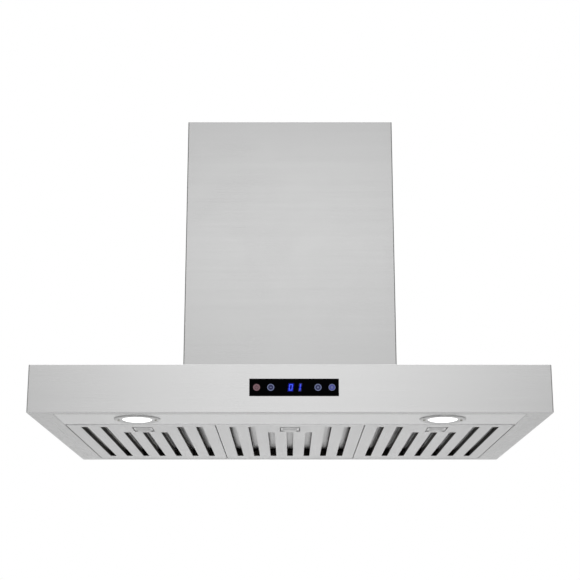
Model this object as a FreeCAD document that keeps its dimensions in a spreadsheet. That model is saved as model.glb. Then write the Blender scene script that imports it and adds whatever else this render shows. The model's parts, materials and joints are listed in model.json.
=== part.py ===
"""Island range hood: flat box canopy, baffle filters, lamps, touch control, blower and telescopic chimney.

Millimetres. +Z is up and the user stands at -Y. The origin is the centre of the ceiling plate's top face,
where the hood hangs from the ceiling. Each sub-part is drawn with heights measured up from the canopy's bottom
rim, and is then moved down by the total height.
"""

import FreeCAD, Part
import math
import os
import re
import Sketcher

V = FreeCAD.Vector
doc = FreeCAD.newDocument("range_hood")

# ---------------------------------------------------------------- driving dimensions

DIMENSIONS = {
    "canopy_width": 900.0,
    "canopy_depth": 600.0,
    "canopy_height": 85.0,
    "skin": 1.0,
    "bend": 2.0,
    "side_flange": 44.0,
    "front_flange": 12.0,
    "rear_flange": 23.0,
    "panel_rear": -175.0,
    "panel_lip": 20.0,
    "lamp_x": 268.0,
    "lamp_y": -236.0,
    "bezel_radius": 40.7,
    "lens_radius": 25.6,
    "lamp_hole_radius": 36.0,
    "bezel_screw_offset": 32.5,
    "filter_pitch": 270.1,
    "filter_width": 268.5,
    "filter_front": -173.0,
    "filter_rear": 274.0,
    "filter_height": 18.0,
    "filter_sheet": 0.8,
    "filter_corner": 5.0,
    "slot_pitch": 34.9,
    "slot_width": 12.4,
    "slot_front": -150.0,
    "slot_front_short": -86.0,
    "slot_rear": 241.0,
    "slot_lip": 9.0,
    "baffle_rear": 243.0,
    "hat_width": 21.0,
    "hat_drop": 9.6,
    "cup_width": 39.0,
    "cup_front": -148.0,
    "cup_rear": -94.0,
    "cup_depth": 7.2,
    "glass_x": 7.0,
    "glass_z": 44.5,
    "glass_width": 153.0,
    "glass_height": 30.0,
    "cover_width": 394.0,
    "cover_depth": 300.0,
    "cover_top": 596.0,
    "cover_sheet": 0.8,
    "cover_gap": 1.6,
    "post_inset": 3.4,
    "post_leg": 17.0,
    "post_sheet": 1.5,
    "box_half_x": 168.0,
    "box_half_y": 124.0,
    "box_top": 396.0,
    "axle_x": -55.0,
    "axle_z": 245.0,
    "wheel_radius": 80.0,
    "wheel_width": 150.0,
    "casing_half_y": 85.0,
    "duct_radius": 74.5,
    "collar_height": 56.0,
    "flap_radius": 71.5,
    "total_height": 597.0,
}

dims = doc.addObject("Spreadsheet::Sheet", "dims")
for row, (alias, value) in enumerate(DIMENSIONS.items(), start=1):
    dims.set(f"A{row}", alias)
    dims.set(f"B{row}", str(value))
    dims.setAlias(f"B{row}", alias)
doc.recompute()

ALIAS = re.compile(r"\b(" + "|".join(sorted(DIMENSIONS, key=len, reverse=True)) + r")\b")
D = DIMENSIONS
SUB_PARTS = []


def bound(text):
    """The expression with every alias pointing at the spreadsheet."""
    return ALIAS.sub(r"dims.\1", str(text))


def value_of(text):
    """What an expression comes to, in millimetres."""
    return float(dims.evalExpression(bound(text)))


def bind(feature, **sizes):
    """Binds properties of a feature to expressions."""
    for name, text in sizes.items():
        feature.setExpression(name, bound(text))
    return feature


def place(feature, x=None, y=None, z=None, axis=None, angle=0.0):
    """Turns a feature about axis, then binds its position to expressions."""
    if axis is not None:
        feature.Placement = FreeCAD.Placement(V(0, 0, 0), FreeCAD.Rotation(V(*axis), angle))
    for key, text in (("x", x), ("y", y), ("z", z)):
        if text is not None:
            feature.setExpression(f"Placement.Base.{key}", bound(text))
    return feature


def sub_part(feature, label):
    """Makes a feature a finished sub-part: labels it and moves it down to hang from the ceiling."""
    heights = [text for path, text in feature.ExpressionEngine if path.lstrip(".") == "Placement.Base.z"]
    drawn_at = heights[0] if heights else "0"
    feature.setExpression("Placement.Base.z", f"{drawn_at} - dims.total_height")
    feature.Label = label
    SUB_PARTS.append(feature)
    return feature


# ---------------------------------------------------------------- shape helpers


def block(x, y, z):
    """A Part::Box between two expressions on each axis."""
    made = doc.addObject("Part::Box", "block")
    bind(made, Length=f"({x[1]}) - ({x[0]})", Width=f"({y[1]}) - ({y[0]})", Height=f"({z[1]}) - ({z[0]})")
    return place(made, x[0], y[0], z[0])


def rod(radius, length, x, y, z, axis="z"):
    """A Part::Cylinder that starts at a point and runs along one axis."""
    made = doc.addObject("Part::Cylinder", "rod")
    bind(made, Radius=radius, Height=length)
    turn = {"z": ((0, 0, 1), 0.0), "x": ((0, 1, 0), 90.0), "y": ((1, 0, 0), -90.0)}[axis]
    return place(made, x, y, z, axis=turn[0], angle=turn[1])


def cone(radius_1, radius_2, length, x, y, z):
    """A Part::Cone that stands on a point, along +Z."""
    made = doc.addObject("Part::Cone", "cone")
    bind(made, Radius1=radius_1, Radius2=radius_2, Height=length)
    return place(made, x, y, z)


def hexagon(flats, length, x, y, z, axis="z"):
    """A hexagonal Part::Prism, such as a bolt head or nut."""
    made = doc.addObject("Part::Prism", "hexagon")
    made.Polygon = 6
    bind(made, Circumradius=f"({flats}) / 1.7320508", Height=length)
    turn = {"z": ((0, 0, 1), 0.0), "x": ((0, 1, 0), 90.0), "y": ((1, 0, 0), -90.0)}[axis]
    return place(made, x, y, z, axis=turn[0], angle=turn[1])


def fuse(*shapes):
    """One feature that joins several."""
    if len(shapes) == 1:
        return shapes[0]
    made = doc.addObject("Part::MultiFuse", "fuse")
    made.Shapes = list(shapes)
    return made


def cut(base, *tools):
    """A Part::Cut of one or more tools from base."""
    made = doc.addObject("Part::Cut", "cut")
    made.Base = base
    made.Tool = fuse(*tools)
    return made


def group(*shapes):
    """Separate solids that share a node."""
    made = doc.addObject("Part::Compound", "group")
    made.Links = list(shapes)
    return made


def round_edges(base, radius, wanted):
    """A Part::Fillet on the edges of base that wanted(edge) accepts."""
    doc.recompute()
    made = doc.addObject("Part::Fillet", "rounded")
    made.Base = base
    picked = [n for n, edge in enumerate(base.Shape.Edges, start=1) if wanted(edge)]
    made.Edges = [(n, value_of(radius), value_of(radius)) for n in picked]
    return made


def is_vertical(edge):
    """True for a straight edge along Z."""
    start, end = edge.Vertexes[0].Point, edge.Vertexes[-1].Point
    return abs(start.x - end.x) < 1e-6 and abs(start.y - end.y) < 1e-6 and abs(start.z - end.z) > 1e-6


def new_body(label):
    """An empty PartDesign body."""
    body = doc.addObject("PartDesign::Body", label)
    body.Label = label
    return body


def polygon_sketch(body, plane, corners):
    """A closed polygon on one of the body's origin planes, each corner bound to a pair of expressions."""
    sketch = body.newObject("Sketcher::SketchObject", "outline")
    for feature in body.Origin.OriginFeatures:
        if feature.Role == plane:
            sketch.AttachmentSupport = [(feature, "")]
    sketch.MapMode = "FlatFace"
    points = [V(value_of(u), value_of(v), 0) for u, v in corners]
    count = len(points)
    for n in range(count):
        sketch.addGeometry(Part.LineSegment(points[n], points[(n + 1) % count]), False)
    for n in range(count):
        sketch.addConstraint(Sketcher.Constraint("Coincident", n, 2, (n + 1) % count, 1))
    for n, (u, v) in enumerate(corners):
        for kind, text, size in (("DistanceX", u, points[n].x), ("DistanceY", v, points[n].y)):
            index = sketch.addConstraint(Sketcher.Constraint(kind, -1, 1, n, 1, size))
            sketch.setExpression(f"Constraints[{index}]", bound(text))
    return sketch


def turned(label, corners):
    """A PartDesign body turned about Z from a profile of (radius, height) corners."""
    body = new_body(label)
    sketch = polygon_sketch(body, "XZ_Plane", corners)
    solid = body.newObject("PartDesign::Revolution", "turn")
    solid.Profile = sketch
    solid.ReferenceAxis = (sketch, ["V_Axis"])
    solid.Angle = 360.0
    body.Tip = solid
    return body


def padded(label, corners, length, plane="XY_Plane"):
    """A PartDesign body with one pad of a polygon."""
    body = new_body(label)
    sketch = polygon_sketch(body, plane, corners)
    solid = body.newObject("PartDesign::Pad", "pad")
    solid.Profile = sketch
    bind(solid, Length=length)
    body.Tip = solid
    return body


def pocketed(body, corners, depth, reverse=False):
    """Pockets a polygon on the body's XY plane, through to depth."""
    sketch = polygon_sketch(body, "XY_Plane", corners)
    pocket = body.newObject("PartDesign::Pocket", "pocket")
    pocket.Profile = sketch
    pocket.Reversed = reverse
    bind(pocket, Length=depth)
    body.Tip = pocket
    return pocket


def rectangle(x0, x1, y0, y1):
    """Corners of a rectangle, anticlockwise."""
    return [(x0, y0), (x1, y0), (x1, y1), (x0, y1)]


# ---------------------------------------------------------------- canopy


def make_canopy():
    """Folded box, open below, with a return flange round the bottom and cut-outs for what it carries."""
    outer = block(
        ("-canopy_width / 2", "canopy_width / 2"),
        ("-canopy_depth / 2", "canopy_depth / 2"),
        ("0", "canopy_height"),
    )
    outer = round_edges(outer, "bend", lambda edge: True)
    inner = block(
        ("-canopy_width / 2 + skin", "canopy_width / 2 - skin"),
        ("-canopy_depth / 2 + skin", "canopy_depth / 2 - skin"),
        ("skin", "canopy_height - skin"),
    )
    mouth = block(
        ("-canopy_width / 2 + side_flange", "canopy_width / 2 - side_flange"),
        ("-canopy_depth / 2 + front_flange", "canopy_depth / 2 - rear_flange"),
        ("-1", "2"),
    )
    air_way = block(
        ("-box_half_x + 14", "box_half_x - 14"),
        ("-box_half_y + 14", "box_half_y - 14"),
        ("canopy_height - 3", "canopy_height + 3"),
    )
    window = block(
        ("glass_x - glass_width / 2 - 0.3", "glass_x + glass_width / 2 + 0.3"),
        ("-canopy_depth / 2 - 2", "-canopy_depth / 2 + 3"),
        ("glass_z - glass_height / 2 - 0.3", "glass_z + glass_height / 2 + 0.3"),
    )
    gland = rod("7.2", "6", "60", "-box_half_y - 11.5", "canopy_height - 3")
    sub_part(cut(outer, inner, mouth, air_way, window, gland), "canopy_shell")


def make_light_panel():
    """Plate behind the front edge: lamp holes, a rear lip that keeps the latches, ears on the side flanges."""
    half = "canopy_width / 2 - side_flange - 0.6"
    front = "-canopy_depth / 2 + front_flange + 0.6"
    plate = block((f"-({half})", half), (front, "panel_rear"), ("0", "skin"))
    rear_lip = block((f"-({half})", half), ("panel_rear - skin", "panel_rear"), ("0", "panel_lip"))
    front_lip = block((f"-({half})", half), (front, f"{front} + skin"), ("0", "10"))
    holes = [
        rod("lamp_hole_radius", "10", f"{side} * lamp_x", "lamp_y", "-3") for side in (-1, 1)
    ]
    keepers = [
        block(
            (f"{n} * filter_pitch - 8.4", f"{n} * filter_pitch + 8.4"),
            ("panel_rear - 4", "panel_rear + 2"),
            ("1.9", "5.2"),
        )
        for n in (-1, 0, 1)
    ]
    ears = []
    for side in (-1, 1):
        reach, riser = (f"{half} - skin", "canopy_width / 2 - 18"), (f"{half} - skin", half)
        for x, low in ((reach, "skin + 0.05"), (riser, "0")):
            span = x if side > 0 else (f"-({x[1]})", f"-({x[0]})")
            ears.append(block(span, ("-272", "-192"), (low, "2 * skin + 0.05")))
    sub_part(cut(fuse(plate, rear_lip, front_lip, *ears), *holes, *keepers), "light_panel")


def make_bumpers():
    """Rubber bumpers in the gap between the light panel's lip and the filters."""
    stops = [
        block((f"{x} - 3", f"{x} + 3"), ("panel_rear", "filter_front - 0.7"), ("0.4", "7"))
        for x in (-365, -92, 92, 365)
    ]
    sub_part(group(*stops), "filter_bumpers")


# ---------------------------------------------------------------- lamps


def make_lamp(name, side):
    """Recessed lamp: flat bezel, domed lens, and a module with a finned heat sink."""
    bezel = turned(
        f"bezel_ring_{name}",
        [
            ("lens_radius + 0.4", "-0.6"),
            ("lens_radius + 1.6", "-1.6"),
            ("bezel_radius - 2.6", "-2.2"),
            ("bezel_radius", "-1"),
            ("bezel_radius", "-0.05"),
            ("lamp_hole_radius - 0.4", "-0.05"),
            ("lamp_hole_radius - 0.4", "8"),
            ("lens_radius + 0.4", "8"),
        ],
    )
    tools = [
        rod("1.25", "14", f"{hole} * bezel_screw_offset", "0", "-4") for hole in (-1, 1)
    ]
    drilled = cut(bezel, *tools)
    place(drilled, f"{side} * lamp_x", "lamp_y", "0")
    sub_part(drilled, f"lamp_{name}_bezel")
    lens = turned(
        f"lamp_{name}_lens",
        [
            ("0", "-4.6"),
            ("lens_radius * 0.35", "-4.3"),
            ("lens_radius * 0.62", "-3.6"),
            ("lens_radius * 0.84", "-2.6"),
            ("lens_radius + 0.2", "-1.1"),
            ("lens_radius + 0.2", "2.4"),
            ("0", "2.4"),
        ],
    )
    sub_part(place(lens, f"{side} * lamp_x", "lamp_y", "0"), f"lamp_{name}_lens")
    rim = rod("lamp_hole_radius - 1", "6", "0", "0", "8.1")
    core = rod("lens_radius", "34", "0", "0", "8.1")
    fins = [rod("lens_radius + 5", "2", "0", "0", f"{18 + 5 * n}") for n in range(5)]
    socket = rod("9", "6", "0", "0", "42")
    module = fuse(rim, core, socket, *fins)
    sub_part(place(module, f"{side} * lamp_x", "lamp_y", "0"), f"lamp_{name}_module")


def make_lamp_screws():
    """Two countersunk screws through each bezel."""
    screws = []
    for side in (-1, 1):
        for hole in (-1, 1):
            x = f"{side} * lamp_x + {hole} * bezel_screw_offset"
            head = cone("1.4", "2.6", "1.2", x, "lamp_y", "-3.3")
            screws.append(fuse(head, rod("1.2", "9.4", x, "lamp_y", "-2.4")))
    sub_part(group(*screws), "lamp_screws")


# ---------------------------------------------------------------- control


def make_control():
    """Black glass in the front face, its carrier, the board behind it and the display module on the board."""
    front = "-canopy_depth / 2"
    x0, x1 = "glass_x - glass_width / 2", "glass_x + glass_width / 2"
    z0, z1 = "glass_z - glass_height / 2", "glass_z + glass_height / 2"
    glass = block((x0, x1), (f"{front} - 0.8", f"{front} + 3.2"), (z0, z1))
    glass = round_edges(glass, "0.4", lambda edge: True)
    sub_part(glass, "control_glass")
    carrier = block(
        (f"{x0} - 8", f"{x1} + 8"), (f"{front} + 3.3", f"{front} + 17"), (f"{z0} - 8", f"{z1} + 8")
    )
    hollow = block(
        (f"{x0} + 2", f"{x1} - 2"), (f"{front} + 5.3", f"{front} + 18"), (f"{z0} + 2", f"{z1} - 2")
    )
    sub_part(cut(carrier, hollow), "control_carrier")
    board = block(
        (f"{x0} + 3", f"{x1} - 3"), (f"{front} + 11", f"{front} + 12.6"), (f"{z0} + 3", f"{z1} - 3")
    )
    sub_part(board, "control_board")
    display = block(
        ("glass_x - 18", "glass_x + 18"), (f"{front} + 5.4", f"{front} + 11"), ("glass_z - 9", "glass_z + 9")
    )
    sub_part(display, "control_display")
    pads = [
        rod("6", "5.5", f"glass_x + {place_x}", f"{front} + 5.4", "glass_z", axis="y")
        for place_x in (-65, -41, 41, 65)
    ]
    sub_part(group(*pads), "touch_springs")


def make_power_unit():
    """Steel box with the supply board under the canopy's top, and the gland where the mains lead comes in."""
    x, y, z = ("110", "214"), ("-282", "-196"), ("48", "canopy_height - skin")
    shell = block(x, y, z)
    hollow = block(("111", "213"), ("-281", "-197"), ("47", "canopy_height - 2 * skin"))
    sub_part(cut(shell, hollow), "power_box")
    lid = block(x, y, ("46.6", "47.8"))
    sub_part(lid, "power_box_lid")
    board = block(("116", "208"), ("-276", "-202"), ("60", "61.6"))
    transformer = block(("122", "158"), ("-262", "-222"), ("61.6", "82"))
    relay = block(("170", "186"), ("-250", "-220"), ("61.6", "76"))
    pillars = [rod("2.5", "21.4", x, y, "61.6") for x in ("120", "204") for y in ("-272", "-206")]
    sub_part(fuse(board, transformer, relay, *pillars), "power_board")
    at_x, at_y = "60", "-box_half_y - 11.5"
    body = rod("7", "16", at_x, at_y, "canopy_height - 5")
    collar = hexagon("16", "5", at_x, at_y, "canopy_height")
    nut = hexagon("16", "3", at_x, at_y, "canopy_height - skin - 3")
    bore = rod("4", "20", at_x, at_y, "canopy_height - 6")
    sub_part(cut(fuse(body, collar, nut), bore), "cable_gland")


# ---------------------------------------------------------------- filters


FILTERS = (("left", -1), ("centre", 0), ("right", 1))
SLOTS = range(-3, 4)


def slot_starts(number):
    """The three slots behind the latch are shorter than the others."""
    return "slot_front_short" if abs(number) <= 1 else "slot_front"


def make_filter_pan(name, centre):
    """Pressed pan: plate with long slots, lips turned up along them, walls round the edge, and rear tabs."""
    half = "filter_width / 2"
    y0, y1 = "filter_front", "filter_rear"
    outer = block((f"-{half}", half), (y0, y1), ("0", "filter_height"))
    outer = round_edges(outer, "filter_corner", is_vertical)
    inner = block(
        (f"-{half} + filter_sheet", f"{half} - filter_sheet"),
        (f"{y0} + filter_sheet", f"{y1} - filter_sheet"),
        ("filter_sheet", "filter_height + 1"),
    )
    inner = round_edges(inner, "filter_corner - filter_sheet", is_vertical)
    lips, holes = [], []
    for n in SLOTS:
        middle, start = f"{n} * slot_pitch", slot_starts(n)
        holes.append(
            block(
                (f"{middle} - slot_width / 2", f"{middle} + slot_width / 2"),
                (start, "slot_rear"),
                ("-1", "3"),
            )
        )
        for side in (-1, 1):
            edge = f"{middle} + {side} * (slot_width / 2 + filter_sheet / 2)"
            lips.append(
                block(
                    (f"{edge} - filter_sheet / 2", f"{edge} + filter_sheet / 2"),
                    (start, "slot_rear"),
                    ("0", "slot_lip"),
                )
            )
    cup_hole = block(("-cup_width / 2", "cup_width / 2"), ("cup_front", "cup_rear"), ("-1", "3"))
    bolt_hole = block(("-8.3", "8.3"), ("filter_front - 2", "filter_front + 2"), ("2", "5"))
    tabs = [
        block((f"{x} - 12", f"{x} + 12"), ("filter_rear - 0.4", "filter_rear + 13"), ("1.4", "2.6"))
        for x in (-95, 95)
    ]
    shell = cut(outer, inner, cup_hole, bolt_hole, *holes)
    pan = fuse(shell, *lips, *tabs)
    sub_part(place(pan, f"{centre} * filter_pitch"), f"filter_{name}_pan")


def make_filter_baffles(name, centre):
    """Seven inverted channels, one over each slot, and the bar that ties their rear ends together."""
    channels = []
    top = "filter_height - 1"
    for n in SLOTS:
        middle = f"{n} * slot_pitch"
        ends = ("filter_front + filter_sheet", "baffle_rear")
        outer = block(
            (f"{middle} - hat_width / 2", f"{middle} + hat_width / 2"), ends, (f"{top} - hat_drop", top)
        )
        hollow = block(
            (f"{middle} - hat_width / 2 + filter_sheet", f"{middle} + hat_width / 2 - filter_sheet"),
            ("filter_front", "filter_rear"),
            (f"{top} - hat_drop - 1", f"{top} - filter_sheet"),
        )
        channels.append(cut(outer, hollow))
    half = "filter_width / 2 - filter_sheet"
    tie = block((f"-({half})", half), ("baffle_rear - 16", "baffle_rear - 4"), (top, "filter_height"))
    sub_part(place(fuse(*channels, tie), f"{centre} * filter_pitch"), f"filter_{name}_baffles")


def make_filter_latch(name, centre):
    """Pressed finger cup, sliding bolt with a finger lip, and the tension springs that draw it forward."""
    shell = block(
        ("-cup_width / 2", "cup_width / 2"), ("cup_front", "cup_rear"), ("0", "cup_depth")
    )
    hollow = block(
        ("-cup_width / 2 + filter_sheet", "cup_width / 2 - filter_sheet"),
        ("cup_front + filter_sheet", "cup_rear - filter_sheet"),
        ("-1", "cup_depth - filter_sheet"),
    )
    gate = block(("-8.3", "8.3"), ("cup_front - 1", "cup_front + 2"), ("2", "5"))
    cup = cut(shell, hollow, gate)
    sub_part(place(cup, f"{centre} * filter_pitch"), f"filter_{name}_latch_cup")
    bolt = block(("-8", "8"), ("panel_rear + 0.3", "cup_rear - 30"), ("2.4", "4.6"))
    pull = block(("-15", "15"), ("cup_rear - 34", "cup_rear - 10.4"), ("2.4", "4.6"))
    web = block(("-13", "13"), ("cup_rear - 26", "cup_rear - 10.4"), ("1", "3"))
    face = block(("-17", "17"), ("cup_rear - 44", "cup_rear - 10.4"), ("0.4", "1.2"))
    groove = block(("-13.5", "13.5"), ("cup_rear - 33", "cup_rear - 27"), ("0", "1.6"))
    lip = block(("-12", "12"), ("cup_rear - 12.4", "cup_rear - 10.4"), ("-1.5", "4.6"))
    slider = fuse(bolt, pull, web, cut(face, groove), lip)
    sub_part(place(slider, f"{centre} * filter_pitch"), f"filter_{name}_latch_bolt")
    coils = []
    for side in (-1, 1):
        helix = doc.addObject("Part::Helix", "helix")
        bind(helix, Pitch="2.2", Radius="1.5")
        helix.setExpression("Height", bound("cup_rear - cup_front - 34 - filter_sheet - 1.6"))
        wire = doc.addObject("Part::Circle", "wire")
        bind(wire, Radius="0.28")
        wire.Placement = FreeCAD.Placement(V(1.5, 0, 0), FreeCAD.Rotation(V(1, 0, 0), 90))
        coil = doc.addObject("Part::Sweep", "coil")
        coil.Sections = [wire]
        coil.Spine = (helix, ["Edge1"])
        coil.Solid = True
        coil.Frenet = True
        place(coil, f"{side} * 11.5", "cup_front + filter_sheet + 0.8", "3.5", axis=(1, 0, 0), angle=-90)
        coils.append(coil)
    sub_part(place(group(*coils), f"{centre} * filter_pitch"), f"filter_{name}_latch_springs")


# ---------------------------------------------------------------- blower


def casing_outline(grow):
    """Face of the scroll in XZ, its walls moved outwards by grow: three tangent arcs and a flared mouth."""
    step, first = 7.0, 110.0 + grow
    axle_x, axle_z = D["axle_x"], D["axle_z"]
    top = D["box_top"] - D["skin"]
    right = V(axle_x + step / 2, 0, axle_z + step / 2)
    lower = right - V(0, 0, step)
    left = lower - V(step, 0, 0)

    def quarter(centre, radius, start):
        """A quarter circle, clockwise from the angle start."""
        at = [math.radians(start - turn) for turn in (0, 45, 90)]
        points = [centre + V(radius * math.cos(a), 0, radius * math.sin(a)) for a in at]
        return Part.Arc(*points).toShape(), points[0], points[2]

    arc_1, start_1, _ = quarter(right, first, 0)
    arc_2, _, _ = quarter(lower, first - step, -90)
    arc_3, _, end_3 = quarter(left, first - 2 * step, -180)
    mouth_right = V(D["duct_radius"] + grow, 0, top)
    mouth_left = V(-D["duct_radius"] - grow, 0, top)
    edges = [
        Part.LineSegment(mouth_right, start_1).toShape(),
        arc_1,
        arc_2,
        arc_3,
        Part.LineSegment(end_3, mouth_left).toShape(),
        Part.LineSegment(mouth_left, mouth_right).toShape(),
    ]
    return Part.Face(Part.Wire(Part.__sortEdges__(edges)))


def make_blower_casing():
    """Scroll casing, open at the top mouth and at the round inlets on both sides."""
    half, wall = D["casing_half_y"], 1.0
    outer = casing_outline(wall).extrude(V(0, 2 * half, 0))
    outer.translate(V(0, -half, 0))
    inner = casing_outline(0).extrude(V(0, 2 * (half - wall), 0))
    inner.translate(V(0, -half + wall, 0))
    inlet = Part.makeCylinder(62, 2 * half + 20, V(D["axle_x"], -half - 10, D["axle_z"]), V(0, 1, 0))
    casing = doc.addObject("Part::Feature", "casing")
    casing.Shape = outer.cut(inner).cut(inlet)
    sub_part(casing, "blower_casing")


def make_inlet_rings():
    """Flared rings round the casing's two inlets."""
    rings = []
    for side in (-1, 1):
        mouth = [("58", "0"), ("58.8", "0"), ("61.9", "3")]
        rim = [("68", "3"), ("68", "4"), ("61", "4")]
        ring = turned("inlet_ring", mouth + rim)
        ring.Placement = FreeCAD.Placement(V(0, 0, 0), FreeCAD.Rotation(V(1, 0, 0), -90 * side))
        place(ring, "axle_x", f"{side} * (casing_half_y - 3)", "axle_z")
        rings.append(ring)
    sub_part(group(*rings), "blower_inlet_rings")


def make_impeller():
    """Double-inlet squirrel-cage wheel on its hub: centre disc, two end rings and forward-leaning blades."""
    half = "wheel_width / 2"
    disc = rod("wheel_radius - 1", "1.6", "0", "-0.8", "0", axis="y")
    hub = rod("14", "22", "0", "-11", "0", axis="y")
    rings = []
    for start in (f"-{half}", f"{half} - 5"):
        ring = cut(
            rod("wheel_radius", "5", "0", start, "0", axis="y"),
            rod("wheel_radius - 3", "7", "0", f"{start} - 1", "0", axis="y"),
        )
        rings.append(ring)
    blades = []
    count = 32
    for n in range(count):
        blade = doc.addObject("Part::Box", "blade")
        bind(blade, Length="15", Width="wheel_width - 2", Height="1.2")
        angle = 360.0 / count * n
        turn = FreeCAD.Rotation(V(0, 1, 0), angle)
        lean = FreeCAD.Rotation(V(0, 1, 0), 32.0)
        base = turn.multVec(V(D["wheel_radius"] - 14, -D["wheel_width"] / 2 + 1, 4))
        blade.Placement = FreeCAD.Placement(base, turn.multiply(lean))
        blades.append(blade)
    rim = rod("wheel_radius", "wheel_width + 4", "0", f"-{half} - 2", "0", axis="y")
    cage = doc.addObject("Part::MultiCommon", "trimmed")
    cage.Shapes = [fuse(*blades), rim]
    bore = rod("4.0", "40", "0", "-20", "0", axis="y")
    wheel = cut(fuse(disc, hub, cage, *rings), bore)
    sub_part(place(wheel, "axle_x", "0", "axle_z"), "impeller")
    shaft = rod("4.0", "64", "axle_x", "-16", "axle_z", axis="y")
    sub_part(shaft, "motor_shaft")


def make_motor():
    """Capacitor-run motor in the rear inlet, carried by a three-armed bracket on the casing."""
    can = rod("40", "62", "axle_x", "20", "axle_z", axis="y")
    can = round_edges(can, "5", lambda edge: len(edge.Vertexes) == 1)
    boss = rod("12", "5", "axle_x", "15", "axle_z", axis="y")
    bearing = rod("4.05", "40", "axle_x", "14", "axle_z", axis="y")
    sub_part(cut(fuse(can, boss), bearing), "motor")
    ring = cut(
        rod("30", "2", "0", "82", "0", axis="y"),
        rod("18", "4", "0", "81", "0", axis="y"),
    )
    arms = []
    for angle in (90, 210, 330):
        arm = doc.addObject("Part::Box", "arm")
        bind(arm, Length="51", Width="2", Height="12")
        turn = FreeCAD.Rotation(V(0, 1, 0), -angle)
        arm.Placement = FreeCAD.Placement(turn.multVec(V(26, 86.2, -6)), turn)
        foot = doc.addObject("Part::Box", "foot")
        bind(foot, Length="8", Width="2", Height="12")
        foot.Placement = FreeCAD.Placement(turn.multVec(V(69, 85, -6)), turn)
        arms += [arm, foot]
    riser = cut(
        rod("30", "6.2", "0", "82", "0", axis="y"),
        rod("24", "9", "0", "81", "0", axis="y"),
    )
    sub_part(place(fuse(ring, riser, *arms), "axle_x", "0", "axle_z"), "motor_bracket")
    capacitor = round_edges(
        rod("17", "70", "120", "-60", "260", axis="z"), "2", lambda edge: len(edge.Vertexes) == 1
    )
    strap = cut(
        block(("100", "box_half_x - skin"), ("-70", "-50"), ("285", "299")),
        rod("17", "40", "120", "-60", "270", axis="z"),
    )
    sub_part(capacitor, "capacitor")
    sub_part(strap, "capacitor_strap")


def make_blower_box():
    """Steel box over the canopy's air way, on a foam gasket, with the duct hole in its top."""
    width, depth = ("-box_half_x", "box_half_x"), ("-box_half_y", "box_half_y")
    outer = block(width, depth, ("canopy_height + 3", "box_top"))
    inner = block(
        ("-box_half_x + skin", "box_half_x - skin"),
        ("-box_half_y + skin", "box_half_y - skin"),
        ("canopy_height", "box_top - skin"),
    )
    foot = block(width, depth, ("canopy_height + 3", "canopy_height + 4.2"))
    foot_hole = block(
        ("-box_half_x + 14", "box_half_x - 14"),
        ("-box_half_y + 14", "box_half_y - 14"),
        ("canopy_height + 2", "canopy_height + 5"),
    )
    duct_hole = rod("duct_radius - 3", "6", "0", "0", "box_top - 3")
    walls = cut(outer, inner, duct_hole)
    sub_part(fuse(walls, cut(foot, foot_hole)), "blower_box")
    pad = block(width, depth, ("canopy_height", "canopy_height + 3"))
    pad_hole = block(
        ("-box_half_x + 14", "box_half_x - 14"),
        ("-box_half_y + 14", "box_half_y - 14"),
        ("canopy_height - 1", "canopy_height + 5"),
    )
    sub_part(cut(pad, pad_hole), "blower_gasket")


def make_outlet():
    """Duct collar with a foot flange and a stop ring, the damper pin across it, and two half-round flaps."""
    pin_z = "box_top + 24"
    collar = turned(
        "collar_ring",
        [
            ("duct_radius - 3", "0"),
            ("duct_radius + 11", "0"),
            ("duct_radius + 11", "1"),
            ("duct_radius", "1"),
            ("duct_radius", "collar_height"),
            ("duct_radius - 1", "collar_height"),
            ("duct_radius - 1", "23.4"),
            ("duct_radius - 5", "23.4"),
            ("duct_radius - 5", "22.4"),
            ("duct_radius - 1", "22.4"),
            ("duct_radius - 1", "1"),
            ("duct_radius - 3", "1"),
        ],
    )
    stop_gap = rod("2.9", "2 * duct_radius", "-duct_radius", "0", "24", axis="x")
    pin_hole = rod("1.5", "2 * duct_radius + 10", "-duct_radius - 5", "0", "24", axis="x")
    drilled = cut(collar, cut(stop_gap, cut(
        rod("duct_radius + 2", "60", "0", "0", "0"), rod("duct_radius - 1", "62", "0", "0", "-1")
    )), pin_hole)
    sub_part(place(drilled, "0", "0", "box_top"), "outlet_collar")
    sub_part(rod("1.5", "2 * duct_radius", "-duct_radius", "0", pin_z, axis="x"), "damper_pin")
    knuckles = {"front": (-50, 10), "rear": (-20, 40)}
    for name, side in (("front", -1), ("rear", 1)):
        disc = rod("flap_radius", "0.8", "0", "0", f"{pin_z} - 0.4")
        keep = block(
            ("-flap_radius", "flap_radius"),
            ("3.4", "flap_radius + 1") if side > 0 else ("-flap_radius - 1", "-3.4"),
            (f"{pin_z} - 1", f"{pin_z} + 1"),
        )
        half_disc = doc.addObject("Part::MultiCommon", "half_disc")
        half_disc.Shapes = [disc, keep]
        parts = [half_disc]
        bores = []
        for start in knuckles[name]:
            parts.append(rod("2.7", "20", str(start), "0", pin_z, axis="x"))
            y_range = ("1", "4") if side > 0 else ("-4", "-1")
            parts.append(block((str(start), str(start + 20)), y_range, (f"{pin_z} - 0.4", f"{pin_z} + 0.4")))
            bores.append(rod("1.56", "24", str(start - 2), "0", pin_z, axis="x"))
        sub_part(cut(fuse(*parts), *bores), f"damper_flap_{name}")


# ---------------------------------------------------------------- chimney and frame


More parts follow.
